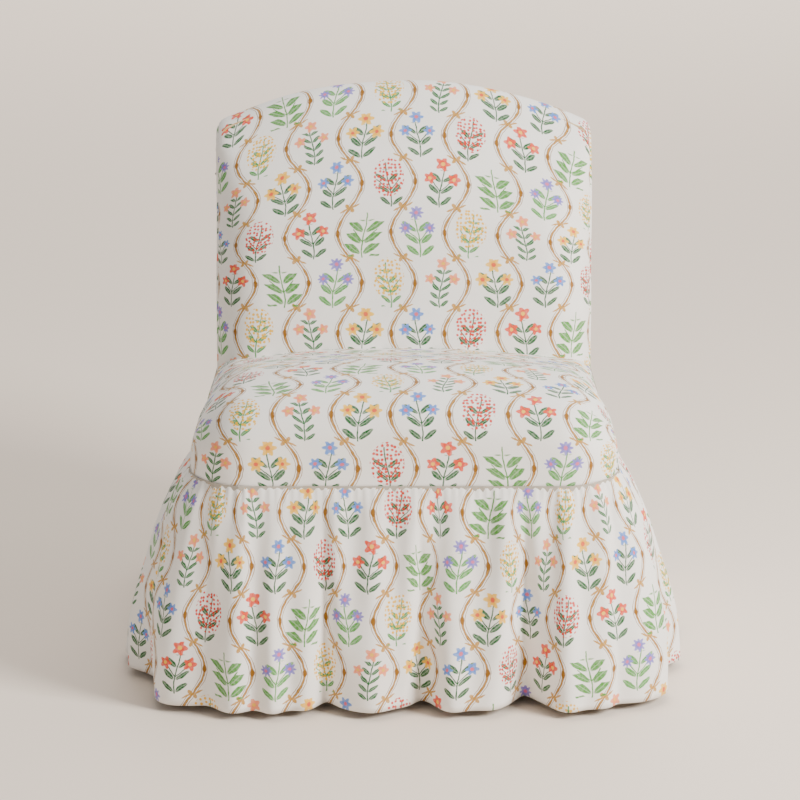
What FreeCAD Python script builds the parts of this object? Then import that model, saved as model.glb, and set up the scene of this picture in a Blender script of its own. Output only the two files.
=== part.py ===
import FreeCAD
import Part
import math
import os

# A skirted slipper chair: armless, low, upholstered all over, with an arched back and a gathered skirt.
# Millimetres, +Z up, the sitter faces -Y and X runs across. Every piece is drawn with Y 0 at the front of
# the seat line, the seam between seat cover and skirt, and is moved at the end so that the origin is on
# the floor under the middle of the chair.

# Seat
seat_width = 622.0
seat_line_height = 340.0
seat_crown_height = 471.0
seat_break_y = 190.0
seat_fall_deg = 11.0
seat_rim = ((0.0, 0.0, 112.0), (0.0, 17.0, 62.0), (8.0, 42.0, 32.0), (24.0, 66.0, 14.0), (54.0, 78.0, 0.0))
rear_rim = 0.45
seat_crown = ((1000.0, 180.0), (340.0, 34.0), (265.0, 19.5), (199.0, 9.5), (90.0, 0.7))
front_corner_radius = 93.0
side_taper_deg = 1.15

# Back, measured along its own lean
back_width = 600.0
back_length = 478.0
back_rake_deg = 11.4
back_pivot_y = 603.0
back_bulge = 86.0
back_side_radius = 86.0
back_side_flats = 4
back_lean_starts = (190.0, 85.0)
back_lean_degs = (0.0, 21.0, 32.0)
back_nose_radius = 22.0
arch_radius = 715.0
arch_turns = (-20.0, -10.0, 10.0, 20.0)
arch_sink = 1.2
shoulder_radius = 24.0
rear_corner_radius = 10.0

# Gathered skirt: how far its folds stand out from the seat line at the hem, in front, beside and behind,
# and the hollows between them: how far each lies along the hem from the front's middle, and how deep it is
hem_height = 12.0
header_height = 11.0
crest_front = 49.0
crest_side = 109.0
crest_back = 60.0
right_hollows = ((23.0, 40.0), (174.0, 62.0), (318.0, 14.0), (452.0, 56.0), (590.0, 44.0), (762.0, 60.0),
                 (903.0, 46.0), (1095.0, 46.0), (1238.0, 44.0))
left_hollows = ((114.0, 26.0), (298.0, 7.0), (428.0, 60.0), (625.0, 54.0), (778.0, 46.0), (915.0, 58.0),
                (1108.0, 46.0), (1260.0, 42.0))
back_hollow_depth = 50.0
hollow_half = 27.0
hollow_shoulder = 0.34
fold_spacing = 46.0
fold_levels = ((0.16, 0.37), (0.45, 0.71), (1.0, 1.0))
run_out = 50.0
corner_ease = 12.0
skirt_splits = (500.0, 1000.0)
lining_front = -17.0
lining_side = 42.0
lining_back = 2.0
skirt_thick = 1.8
lining_thick = 0.8
lining_rise = 18.0
corner_facets = 4

# Layers from the outside in
cover_thick = 2.0
wadding_thick = 8.0
side_wrap = 21.0
top_wrap = 25.0
band_depth = 38.0
board_thick = 3.0
strip_thick = 1.6
strip_height = 10.0
cover_foot = 308.0

# Wooden frame
rail_top = 345.0
rail_bottom = 245.0
rail_thick = 28.0
post_width = 34.0
post_length = 365.0
crest_depth = 75.0
tack_rail_foot = 58.0
tack_rail_height = 46.0
front_leg_top = 46.0
front_leg_foot = 34.0
rear_foot_front_y = 618.0
dowel_radius = 5.0
dowel_length = 44.0
rod_sides = 12
glide_radius = 12.0
glide_height = 5.0
glide_sides = 16

# Suspension
spring_count = 4
spring_spacing = 120.0
spring_width = 46.0
spring_runs = 17
spring_rise = 26.0
spring_front_y = 38.0
spring_rear_y = 626.0
wire_radius = 1.8
wire_sides = 5
clip_thick = 1.0
clip_width = 18.0
clip_length = 22.0
tie_radius = 1.2
deck_crown = 37.0
deck_slope = 60.0
deck_landing = 14.0
burlap_thick = 1.2
strap_width = 50.0
strap_thick = 1.5

# Worked out from the dimensions above
rake = math.radians(back_rake_deg)
taper = math.radians(side_taper_deg)
seat_half = seat_width / 2.0
back_half = back_width / 2.0
back_depth = band_depth + board_thick + cover_thick
rear_line_y = back_pivot_y + back_depth / math.cos(rake)
pad_inset = cover_thick + wadding_thick
frame_half = seat_half - side_wrap
frame_corner = front_corner_radius - side_wrap
corner_x = seat_half - front_corner_radius
corner_y = front_corner_radius
rail_inner = frame_half - rail_thick
post_inner = frame_half - post_width
leg_min_x = rail_inner - front_leg_top
leg_min_y = side_wrap + rail_thick
seat_rear_y = back_pivot_y - 2.0
heading_out = strip_thick + lining_thick + skirt_thick
far = 1500.0

ACROSS = FreeCAD.Vector(1, 0, 0)
parts = {}


def point(x, y, z):
    return FreeCAD.Vector(x, y, z)


def box(x0, x1, y0, y1, z0, z1):
    return Part.makeBox(x1 - x0, y1 - y0, z1 - z0, point(x0, y0, z0))


def rod(radius, start, end):
    """A many-sided rod."""
    run = end - start
    frame = FreeCAD.Rotation(point(0, 0, 1), run)
    ring = [frame.multVec(on_circle(point(0, 0, 0), radius, 360.0 * index / rod_sides)) for index in range(rod_sides)]
    return prism([start + place for place in ring], run)


def line(start, end):
    return Part.LineSegment(start, end).toShape()


def prism(corners, sweep):
    """A closed outline of straight edges, swept along a vector."""
    return Part.Face(Part.makePolygon(corners + corners[:1])).extrude(sweep)


def flat_sided(outlines):
    """A solid with flat sides through level outlines of equally many corners, listed from the foot up."""
    loops = [list(reversed(outlines[0])), outlines[-1]]
    for foot, top in zip(outlines, outlines[1:]):
        for index in range(len(foot)):
            after = (index + 1) % len(foot)
            loops.append([foot[index], foot[after], top[after], top[index]])
    faces = [Part.Face(Part.makePolygon(corners + corners[:1])) for corners in loops]
    return Part.makeSolid(Part.makeShell(faces))


def mirrored(shape):
    return shape.mirror(point(0, 0, 0), ACROSS)


def both_sides(shape):
    return Part.makeCompound([shape, mirrored(shape)])


def lean(shape):
    """Turns a piece drawn upright, with Z 0 on the seat line, to the back's rake."""
    moved = shape.copy()
    moved.rotate(point(0, 0, 0), ACROSS, -back_rake_deg)
    moved.translate(point(0, back_pivot_y, seat_line_height))
    return moved


def between_heights(shape, low, high):
    return shape.common(box(-far, far, -far, far, low, high))


# Plan of the chair at the seat line

def side_x(y, out):
    """Where a side of the plan is: it narrows evenly from the front corner to the back."""
    reach = front_corner_radius + out - (y - corner_y) * math.sin(taper)
    return corner_x + reach / math.cos(taper)


def on_circle(centre, radius, degrees):
    turn = math.radians(degrees)
    return centre + point(radius * math.cos(turn), radius * math.sin(turn), 0)


def plan_corners(front_out, side_out, back_out, z):
    """Centres and radii of the plan's right-hand front and rear corners."""
    front_radius = front_corner_radius + side_out
    rear_radius = rear_corner_radius + max(side_out, 0.0)
    front_y = corner_y - front_corner_radius - front_out + front_radius
    rear_y = rear_line_y + back_out - rear_radius
    front_x = side_x(front_y, side_out) - front_radius / math.cos(taper)
    rear_x = side_x(rear_y, side_out) - rear_radius / math.cos(taper)
    return point(front_x, front_y, z), front_radius, point(rear_x, rear_y, z), rear_radius


def plan_outline(front_out, side_out, back_out, z):
    """The seat line's plan with round corners, each side moved outwards by its own amount."""
    front, front_radius, rear, rear_radius = plan_corners(front_out, side_out, back_out, z)
    edges = []
    for centre, radius, first, last in ((front, front_radius, -90.0, side_taper_deg),
                                        (rear, rear_radius, side_taper_deg, 90.0)):
        places = [on_circle(centre, radius, degrees) for degrees in (first, (first + last) / 2.0, last)]
        edges.append(Part.Arc(*places).toShape())
    corners = [on_circle(front, front_radius, -90.0), on_circle(front, front_radius, side_taper_deg),
               on_circle(rear, rear_radius, side_taper_deg), on_circle(rear, rear_radius, 90.0)]
    edges.append(line(corners[1], corners[2]))
    edges += [mirrored(edge) for edge in edges]
    for place in (corners[0], corners[3]):
        edges.append(line(place, point(-place.x, place.y, z)))
    return Part.Wire(Part.sortEdges(edges)[0])


def faceted_corners(front_out, side_out, back_out, z):
    """The same plan with short flats laid round each corner, for cloth and foam that turn in flat panels."""
    front, front_radius, rear, rear_radius = plan_corners(front_out, side_out, back_out, z)
    right = []
    for centre, radius, first, last in ((front, front_radius, -90.0, side_taper_deg),
                                        (rear, rear_radius, side_taper_deg, 90.0)):
        step = (last - first) / corner_facets
        reach = radius / math.cos(math.radians(step / 2.0))
        right += [on_circle(centre, reach, first + step * (index + 0.5)) for index in range(corner_facets)]
    return right + [point(-place.x, place.y, z) for place in reversed(right)]


def plan_slab(out, low, high):
    """The whole plan as a flat block."""
    return Part.Face(plan_outline(out, out, out, low)).extrude(point(0, 0, high - low))


def frame_block(low, high):
    """What the seat rails stand in, with round front corners and nothing to stop it at the back."""
    straight = box(-frame_half, frame_half, corner_y, far, low, high)
    front = box(-corner_x, corner_x, side_wrap, corner_y, low, high)
    corner = Part.makeCylinder(frame_corner, high - low, point(corner_x, corner_y, low))
    return straight.fuse([front, corner, mirrored(corner)])


# Soft bodies

def seat_block(inset, foot, ahead, aside, rim):
    """A crowned cushion with level flats round its rim: wider at the sides than in front."""
    crown = seat_crown_height - inset
    outlines = [faceted_corners(ahead - inset, aside - inset, far / 3.0, foot)]
    for front, side, drop in seat_rim:
        side_out = aside - inset - side * rim
        outlines.append(faceted_corners(ahead - inset - front, side_out, far / 3.0, crown - drop * rim))
    top = [point(x, -far, crown - drop) for x, drop in seat_crown]
    top += [point(-place.x, -far, place.z) for place in reversed(top)]
    corners = [point(-far, -far, foot), point(far, -far, foot)] + top
    return flat_sided(outlines).common(prism(corners, point(0, 3.0 * far, 0)))


def seat_body(inset, foot):
    """The seat, drawn in by the layers over it: level in front, then falling towards the back."""
    level = seat_block(inset, foot, 0.0, 0.0, 1.0)
    falling = seat_block(inset, foot - 150.0, 150.0, 1.5, rear_rim)
    break_y = seat_break_y - inset * math.tan(math.radians(seat_fall_deg / 2.0))
    falling.rotate(point(0, break_y, seat_crown_height - inset), ACROSS, -seat_fall_deg)
    return level.common(falling).common(box(-far, far, -far, seat_rear_y - inset, foot, far))


def deck_body(over):
    """The space that the springs arch up into, under the seat pad."""
    low = rail_top - 8.0
    front = point(0, side_wrap + 3.0, rail_top + over)
    rear = point(0, spring_rear_y + 14.0, rail_top + over)
    top = point(0, (front.y + rear.y) / 2.0, rail_top + deck_crown + over)
    side_view = Part.Wire([
        Part.Arc(front, top, rear).toShape(),
        line(rear, point(0, rear.y, low)),
        line(point(0, rear.y, low), point(0, front.y, low)),
        line(point(0, front.y, low), front),
    ])
    half = frame_half - deck_landing + over
    arched = Part.Face(side_view).extrude(point(2.0 * half, 0, 0))
    arched.translate(point(-half, 0, 0))
    corners = [point(-half, 0, low), point(half, 0, low), point(half, 0, rail_top + over),
               point(half - deck_slope, 0, rail_top + deck_crown + 5.0),
               point(deck_slope - half, 0, rail_top + deck_crown + 5.0), point(-half, 0, rail_top + over)]
    return arched.common(prism(corners, point(0, far, 0)))


def arch_shape(side_inset, top_inset):
    """The back's front view: half width, arch radius and centre, and the round shoulder's radius and centre."""
    half = back_half - side_inset
    radius = arch_radius - top_inset
    centre = back_length - arch_radius
    bend = max(shoulder_radius - side_inset, 12.0)
    bend_x = half - bend
    bend_z = centre + math.sqrt((radius - bend) ** 2 - bend_x ** 2)
    return half, radius, centre, bend, bend_x, bend_z


def arch_outline(side_inset, top_inset, depth, foot):
    """Straight sides, small round shoulders and one long arch, as a closed outline."""
    half, radius, centre, bend, bend_x, bend_z = arch_shape(side_inset, top_inset)
    slope = math.atan2(bend_z - centre, bend_x)
    tip = point(radius * math.cos(slope), depth, centre + radius * math.sin(slope))
    left_tip = point(-tip.x, depth, tip.z)
    middle_x = bend_x + bend * math.cos(slope / 2.0)
    middle_z = bend_z + bend * math.sin(slope / 2.0)
    edges = [
        line(point(-half, depth, foot), point(half, depth, foot)),
        line(point(half, depth, foot), point(half, depth, bend_z)),
        Part.Arc(point(half, depth, bend_z), point(middle_x, depth, middle_z), tip).toShape(),
        Part.Arc(tip, point(0, depth, centre + radius), left_tip).toShape(),
        Part.Arc(left_tip, point(-middle_x, depth, middle_z), point(-half, depth, bend_z)).toShape(),
        line(point(-half, depth, bend_z), point(-half, depth, foot)),
    ]
    return Part.Wire(edges)


def back_slab(side_inset, top_inset, front, rear, foot):
    outline = arch_outline(side_inset, top_inset, front, foot)
    return Part.Face(outline).extrude(point(0, rear - front, 0))


def shoulder_prism(inset, foot):
    """The back's straight sides and cut shoulders, left open above its arch."""
    half, radius, centre, bend, bend_x, bend_z = arch_shape(inset, inset)
    last = math.atan2(bend_z - centre, bend_x) - math.radians(3.0)
    places = [point(bend_x + bend * math.cos(a), -far, bend_z + bend * math.sin(a)) for a in (0.0, last / 2, last)]
    peak = point(0, -far, places[2].z + places[2].x / math.tan(last))
    right = [point(half, -far, foot)] + places
    return prism(right + [peak] + [point(-place.x, -far, place.z) for place in reversed(right)], point(0, 2.0 * far, 0))


def side_prism(inset, rear, foot):
    """Plan of the back: flat in front and turned back to its straight band on each side."""
    radius = back_side_radius - inset
    flat = back_half - inset - radius
    turns = [math.radians(90.0 * step / back_side_flats) for step in range(back_side_flats + 1)]
    right = [point(flat + radius * math.sin(turn), inset - back_bulge + radius * (1.0 - math.cos(turn)), foot)
             for turn in turns]
    right.append(point(back_half - inset, rear, foot))
    return prism(right + [point(-place.x, place.y, foot) for place in reversed(right)], point(0, 0, far))


def back_profile(inset):
    """Corners of the back's side view up to its top, as depth and distance from the arch's centre."""
    corners = [(inset - back_bulge, 0.0)]
    depth = -back_bulge
    height = arch_radius - back_lean_starts[0]
    for step, start in enumerate(back_lean_starts):
        before = math.radians(back_lean_degs[step])
        after = math.radians(back_lean_degs[step + 1])
        rise = arch_radius - start - height
        depth += rise * math.tan(before)
        height += rise
        middle = (before + after) / 2.0
        shift = inset / math.cos((after - before) / 2.0)
        corners.append((depth + shift * math.cos(middle), height - shift * math.sin(middle)))
    return corners


def back_lens(inset, rear):
    """The back's side view, turned about the centre of its arch in flats that follow the arch."""
    radius = arch_radius - inset
    nose = back_nose_radius - inset
    corners = back_profile(inset)
    steep = math.radians(back_lean_degs[-1])
    last_depth, last_height = corners[-1]
    nose_height = radius - nose
    nose_depth = last_depth + (nose + (nose_height - last_height) * math.sin(steep)) / math.cos(steep)
    places = [point(-far, depth, height) for depth, height in corners]
    for angle in (steep, (steep + math.pi / 2.0) / 2.0, math.pi / 2.0):
        places.append(point(-far, nose_depth - nose * math.cos(angle), nose_height + nose * math.sin(angle)))
    side_view = prism(places + [point(-far, rear, radius), point(-far, rear, 0)], point(2.0 * far, 0, 0))
    lens = side_view
    for degrees in arch_turns:
        turned = side_view.copy()
        turned.rotate(point(0, 0, 0), point(0, 1, 0), degrees)
        lens = lens.common(turned)
    lens.translate(point(0, 0, back_length - arch_radius - arch_sink))
    return lens


def back_body(inset, rear, foot):
    """The back's pad: a pillow towards the sitter on a straight band, leaning away along its arched top."""
    return back_lens(inset, rear).common(side_prism(inset, rear, foot)).common(shoulder_prism(inset, foot))


def back_layer(outer_inset, inner_inset, rear):
    """One layer of the back: open behind, and ending on the seat and at the seat cover's lower edge."""
    shell = back_body(outer_inset, rear, -80.0).cut(back_body(inner_inset, rear + 50.0, -120.0))
    shell = between_heights(lean(shell), cover_foot, far)
    return shell.cut(seat_body(0.0, cover_foot - 40.0))


# Covers and fillings

def make_seat_pads():
    rails = frame_block(cover_foot - 60.0, rail_top)
    outer = seat_body(0.0, cover_foot)
    under_cover = seat_body(cover_thick, cover_foot - 20.0)
    under_wadding = seat_body(pad_inset, cover_foot - 40.0)
    wadding = between_heights(under_cover.cut(under_wadding), cover_foot + 4.0, far)
    foam = between_heights(under_wadding, cover_foot + 8.0, far)
    deck = deck_body(burlap_thick)
    parts["seat_cover"] = outer.cut(under_cover).cut(rails).cut(deck)
    parts["seat_wadding"] = wadding.cut(rails).cut(deck)
    parts["seat_foam"] = foam.cut(rails).cut(deck)
    parts["seat_burlap"] = between_heights(deck.cut(deck_body(0.0)), rail_top, far)


def make_back_pads():
    web_depth = 2.0 * strap_thick
    parts["inside_back_cover"] = back_layer(0.0, cover_thick, band_depth + board_thick)
    parts["back_wadding"] = back_layer(cover_thick, pad_inset, band_depth)
    frame = lean(back_slab(-5.0, top_wrap, -web_depth - burlap_thick, far, -150.0))
    foam = between_heights(lean(back_body(pad_inset, band_depth, -80.0)), rail_top, far)
    parts["back_foam"] = foam.cut(seat_body(0.0, cover_foot)).cut(frame)
    burlap = box(-frame_half + 4.0, frame_half - 4.0, -web_depth - burlap_thick, -web_depth,
                 tack_rail_foot + 4.0, post_length)
    parts["back_burlap"] = lean(burlap)
    board = back_slab(16.0, 18.0, band_depth, band_depth + board_thick, 0.0)
    parts["outside_back_board"] = lean(board)
    panel = lean(back_slab(0.0, 0.0, band_depth + board_thick, back_depth, -60.0))
    parts["outside_back_cover"] = between_heights(panel, cover_foot, far)
    strip = box(back_half - 14.0, back_half - 4.0, band_depth, band_depth + strip_thick, 8.0, post_length)
    parts["back_tack_strips"] = both_sides(lean(strip))


# Wooden frame

def make_seat_rails():
    behind_posts = lean(box(-far, far, 0.0, far, -far, far))
    front = box(-corner_x, corner_x, side_wrap, side_wrap + rail_thick, rail_bottom, rail_top)
    upper_edge = [edge for edge in front.Edges if edge.CenterOfMass.y < side_wrap + 1.0
                  and edge.CenterOfMass.z > rail_top - 1.0]
    parts["seat_rail_front"] = front.makeFillet(8.0, upper_edge)
    side = box(rail_inner, frame_half, corner_y, far, rail_bottom, rail_top).cut(behind_posts)
    parts["seat_rail_right"] = side
    parts["seat_rail_left"] = mirrored(side)
    rear = lean(box(-post_inner, post_inner, band_depth - rail_thick, band_depth, -120.0, 30.0))
    parts["seat_rail_rear"] = between_heights(rear, rail_bottom, rail_top)


def tapered_side(low, high, narrow, top, foot):
    """Side view of a leg: upright in the frame, then tapering evenly to the floor."""
    inset = (high - low - narrow) / 2.0
    return [(low, top), (high, top), (high, rail_bottom), (high - inset, foot), (low + inset, foot),
            (low, rail_bottom)]


def make_legs():
    max_x = leg_min_x + front_leg_top
    max_y = leg_min_y + front_leg_top
    across = [point(x, 0, z) for x, z in tapered_side(leg_min_x, max_x, front_leg_foot, rail_top, glide_height)]
    along = [point(0, y, z) for y, z in tapered_side(leg_min_y, max_y, front_leg_foot, rail_top, glide_height)]
    leg = prism(across, point(0, far, 0)).common(prism(along, point(far, 0, 0)))
    parts["front_leg_right"] = leg
    parts["front_leg_left"] = mirrored(leg)
    corner = box(corner_x, frame_half, side_wrap, corner_y, rail_bottom, rail_top)
    rounded = corner.common(Part.makeCylinder(frame_corner, far, point(corner_x, corner_y, 0)))
    parts["front_corner_blocks"] = both_sides(rounded.cut(leg))


def lean_point(x, depth, height):
    """A place in the back's own frame, as a place on the chair."""
    return point(x, back_pivot_y + depth * math.cos(rake) + height * math.sin(rake),
                 seat_line_height + height * math.cos(rake) - depth * math.sin(rake))


def make_back_frame():
    knee_front = back_pivot_y - (seat_line_height - rail_bottom) * math.tan(rake)
    knee_rear = knee_front + band_depth / math.cos(rake)
    side_view = [
        point(post_inner, rear_foot_front_y, glide_height),
        point(post_inner, knee_front, rail_bottom),
        lean_point(post_inner, 0.0, post_length),
        lean_point(post_inner, band_depth, post_length),
        point(post_inner, knee_rear, rail_bottom),
        point(post_inner, rear_foot_front_y + front_leg_foot, glide_height),
    ]
    post = prism(side_view, point(post_width, 0, 0))
    parts["back_post_right"] = post
    parts["back_post_left"] = mirrored(post)
    frame_inset = back_half - frame_half
    crest = back_slab(frame_inset, top_wrap, 0.0, band_depth, post_length)
    hollow = back_slab(frame_inset + post_width, top_wrap + crest_depth, -1.0, band_depth + 1.0, 0.0)
    parts["crest_rail"] = lean(crest.cut(hollow))
    low = tack_rail_foot
    parts["back_tack_rail"] = lean(box(-post_inner, post_inner, 0.0, rail_thick, low, low + tack_rail_height))
    block = prism([
        point(rail_inner, seat_rear_y - 85.0, rail_bottom + 30.0),
        point(rail_inner, rear_line_y, rail_bottom + 30.0),
        point(rail_inner - 125.0, rear_line_y, rail_bottom + 30.0),
    ], point(0, 0, 55.0))
    rear_space = lean(box(-far, far, band_depth - rail_thick, far, -far, far))
    parts["rear_corner_blocks"] = both_sides(block.cut(post).cut(rear_space))


# Suspension

def spring_height(y):
    """Height of the spring wire's centre line, arched between the two rails."""
    middle = (spring_front_y + spring_rear_y) / 2.0
    share = (y - middle) / (spring_rear_y - middle)
    return rail_top + clip_thick + wire_radius + spring_rise * (1.0 - share ** 2)


def zigzag_spring(x):
    """A sinuous spring: runs across the seat, joined by bends that alternate left and right."""
    pitch = (spring_rear_y - spring_front_y) / (spring_runs - 1)
    half = (spring_width - pitch) / 2.0
    places = []
    for run in range(spring_runs):
        y = spring_front_y + pitch * run
        side = 1.0 if run % 2 == 0 else -1.0
        places.append(point(x - side * half, y, spring_height(y)))
        places.append(point(x + side * half, y, spring_height(y)))
        if run < spring_runs - 1:
            for degrees in (-30.0, 30.0):
                out = pitch / 2.0 * math.cos(math.radians(degrees))
                bend_y = y + pitch / 2.0 * (1.0 + math.sin(math.radians(degrees)))
                places.append(point(x + side * (half + out), bend_y, spring_height(bend_y)))
    ring = []
    for corner in range(wire_sides):
        turn = 2.0 * math.pi * corner / wire_sides
        ring.append(places[0] + point(0, wire_radius * math.cos(turn), wire_radius * math.sin(turn)))
    section = Part.makePolygon(ring + ring[:1])
    return Part.makePolygon(places).makePipeShell([section], True, False, 1)


def spring_places():
    return [(index - (spring_count - 1) / 2.0) * spring_spacing for index in range(spring_count)]


def spring_clip(x, y):
    """A strap nailed to the rail and folded over the spring's end run."""
    half = clip_width / 2.0
    cavity = wire_radius + 0.05
    low = rail_top + clip_thick
    plate = box(x - half, x + half, y - clip_length / 2.0, y + clip_length / 2.0, rail_top, low)
    fold = box(x - half, x + half, y - cavity - clip_thick, y + cavity + clip_thick,
               rail_top, low + 2.0 * cavity + clip_thick)
    return plate.fuse(fold).cut(box(x - far, x + far, y - cavity, y + cavity, low, low + 2.0 * cavity))


def make_springs():
    places = spring_places()
    parts["seat_springs"] = Part.makeCompound([zigzag_spring(x) for x in places])
    clips = [spring_clip(x, y) for x in places for y in (spring_front_y, spring_rear_y)]
    parts["spring_clips"] = Part.makeCompound(clips)


def woven_strap(levels, centres, start, end):
    """A flat strap in side view, passing over or under each crossing at the depth given for it."""
    places = [(start, levels[0])]
    for level, centre in zip(levels, centres):
        places.append((centre - strap_width / 2.0, level))
        places.append((centre + strap_width / 2.0, level))
    places.append((end, levels[-1]))
    return places


def make_back_webbing():
    rows = [tack_rail_foot + 90.0 + 72.0 * index for index in range(3)]
    columns = [-140.0, 0.0, 140.0]
    across = []
    upright = []
    for row, height in enumerate(rows):
        levels = [-strap_thick * ((row + column) % 2) for column in range(len(columns))]
        side = woven_strap(levels, columns, -frame_half + 3.0, frame_half - 3.0)
        front = [point(x, depth, height - strap_width / 2.0) for x, depth in side]
        rear = [place - point(0, strap_thick, 0) for place in reversed(front)]
        across.append(lean(prism(front + rear, point(0, 0, strap_width))))
    for column, x in enumerate(columns):
        levels = [-strap_thick * ((row + column + 1) % 2) for row in range(len(rows))]
        side = woven_strap(levels, rows, tack_rail_foot + 8.0, post_length + 20.0)
        front = [point(x - strap_width / 2.0, depth, height) for height, depth in side]
        rear = [place - point(0, strap_thick, 0) for place in reversed(front)]
        upright.append(lean(prism(front + rear, point(strap_width, 0, 0))))
    parts["back_webbing_across"] = Part.makeCompound(across)
    parts["back_webbing_upright"] = Part.makeCompound(upright)


# Skirt

def lining_ring(inward):
    """The plain lining: an upright heading, then straight flare down to just inside the folds' hollows."""
    out = heading_out - skirt_thick - inward
    seam = faceted_corners(out, out, out, seat_line_height - header_height)
    hem = faceted_corners(lining_front - inward, lining_side - inward, lining_back - inward, 0.0)
    return flat_sided([hem, seam, faceted_corners(out, out, out, seat_line_height)])


def line_knots():
    """The right half of the seat line from front to back: distance run, centre, radius and direction."""
    front, front_radius, rear, rear_radius = plan_corners(0.0, 0.0, 0.0, 0.0)
    knots = [(0.0, point(0, front.y, 0), front_radius, -90.0)]
    for centre, radius, degrees in ((front, front_radius, -90.0), (front, front_radius, side_taper_deg),
                                    (rear, rear_radius, side_taper_deg), (rear, rear_radius, 90.0),
                                    (point(0, rear.y, 0), rear_radius, 90.0)):
        run, last, last_radius, last_degrees = knots[-1]
        run += (radius + run_out) * math.radians(degrees - last_degrees)
        run += (centre - last).Length
        knots.append((run, centre, radius, degrees))
    return knots


def on_line(run):
    """A place on the seat line and the way out from it, by the distance run from the front's middle."""
    knots = line_knots()
    whole = knots[-1][0]
    side = 1.0 if run % (2.0 * whole) <= whole else -1.0
    run = min(run % (2.0 * whole), -run % (2.0 * whole))
    for before, after in zip(knots, knots[1:]):
        if run <= after[0]:
            break
    share = (run - before[0]) / (after[0] - before[0])
    centre = before[1] + (after[1] - before[1]) * share
    radius = before[2] + (after[2] - before[2]) * share
    turn = math.radians(before[3] + (after[3] - before[3]) * share)
    out = point(side * math.cos(turn), math.sin(turn), 0)
    return point(side * centre.x, centre.y, 0) + out * radius, out


def fold_stations():
    """The folds' corners all round the skirt, each as a distance run and the depth of the hollow there."""
    whole = line_knots()[-1][0]
    hollows = list(right_hollows) + [(whole, back_hollow_depth)]
    hollows += [(2.0 * whole - run, depth) for run, depth in reversed(left_hollows)]
    stations = []
    for index, (run, depth) in enumerate(hollows):
        flank = depth * hollow_shoulder
        stations += [(run - hollow_half, flank), (run, depth), (run + hollow_half, flank)]
        ahead = hollows[index + 1][0] if index + 1 < len(hollows) else hollows[0][0] + 2.0 * whole
        crest = ahead - run - 2.0 * hollow_half
        steps = max(round(crest / fold_spacing), 2)
        stations += [(run + hollow_half + crest * step / steps, 0.0) for step in range(1, steps)]
    return stations


def fold_column(run, depth, inward):
    """The skirt's cloth at one place along it, as points from the seam down to the hem."""
    seam, out = on_line(run)
    heading = seam + out * (heading_out + corner_ease * abs(out.x * out.y) - inward)
    column = [heading + point(0, 0, seat_line_height), heading + point(0, 0, seat_line_height - header_height)]
    crest = crest_front if out.y < 0.0 else crest_back
    crest += (crest_side - crest) * out.x ** 2
    for share, swell in fold_levels:
        reach = crest * swell - depth * share - inward
        column.append(seam + out * reach + point(0, 0, seat_line_height - (seat_line_height - hem_height) * share))
    return column


def cloth_panel(stations):
    """One panel of the skirt, flat between its folds' corners, from the seam to the hem."""
    outer = [fold_column(run, depth, 0.0) for run, depth in stations]
    inner = [fold_column(run, depth, skirt_thick) for run, depth in stations]
    loops = [inner[0] + outer[0][::-1], outer[-1] + inner[-1][::-1]]
    for index in range(len(stations) - 1):
        near, ahead, near_in, ahead_in = outer[index], outer[index + 1], inner[index], inner[index + 1]
        loops.append([near[0], ahead[0], ahead_in[0], near_in[0]])
        loops.append([near_in[-1], ahead_in[-1], ahead[-1], near[-1]])
        for top in range(len(near) - 1):
            foot = top + 1
            loops += [[near[top], near[foot], ahead[foot]], [near[top], ahead[foot], ahead[top]]]
            loops += [[near_in[top], ahead_in[foot], near_in[foot]], [near_in[top], ahead_in[top], ahead_in[foot]]]
    faces = [Part.Face(Part.makePolygon(corners + corners[:1])) for corners in loops]
    return Part.makeSolid(Part.makeShell(faces))


def make_skirt():
    stations = fold_stations()
    whole = line_knots()[-1][0]
    front_run, rear_run = skirt_splits
    starts = (-front_run, front_run, rear_run, 2.0 * whole - rear_run, 2.0 * whole - front_run)
    doubled = [(run - 2.0 * whole, depth) for run, depth in stations] + stations
    crests = [run for run, depth in doubled if depth == 0.0]
    ends = [min(crests, key=lambda run: abs(run - start)) for start in starts]
    for name, first, last in zip(("front", "right", "back", "left"), ends, ends[1:]):
        panel = [station for station in doubled if first <= station[0] <= last]
        parts["skirt_" + name] = cloth_panel(panel)
    lining = lining_ring(0.0).cut(lining_ring(lining_thick))
    parts["skirt_lining"] = between_heights(lining, hem_height + lining_rise, seat_line_height)
    top = seat_line_height - 1.0
    low = top - strip_height
    band = [flat_sided([faceted_corners(out, out, out, z) for z in (low, top)]) for out in (strip_thick, 0.0)]
    parts["skirt_tack_band"] = band[0].cut(band[1])


# Small pieces

def make_glides():
    front_x = leg_min_x + front_leg_top / 2.0
    front_y = leg_min_y + front_leg_top / 2.0
    rear_x = post_inner + post_width / 2.0
    rear_y = rear_foot_front_y + front_leg_foot / 2.0
    glides = []
    for x, y in ((front_x, front_y), (rear_x, rear_y)):
        turns = [360.0 * index / glide_sides for index in range(glide_sides)]
        rings = []
        for radius, z in ((glide_radius - 1.5, 0.0), (glide_radius, 1.5), (glide_radius, glide_height)):
            rings.append([on_circle(point(x, y, z), radius, degrees) for degrees in turns])
        glides += [flat_sided(rings), mirrored(flat_sided(rings))]
    parts["floor_glides"] = Part.makeCompound(glides)


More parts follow.
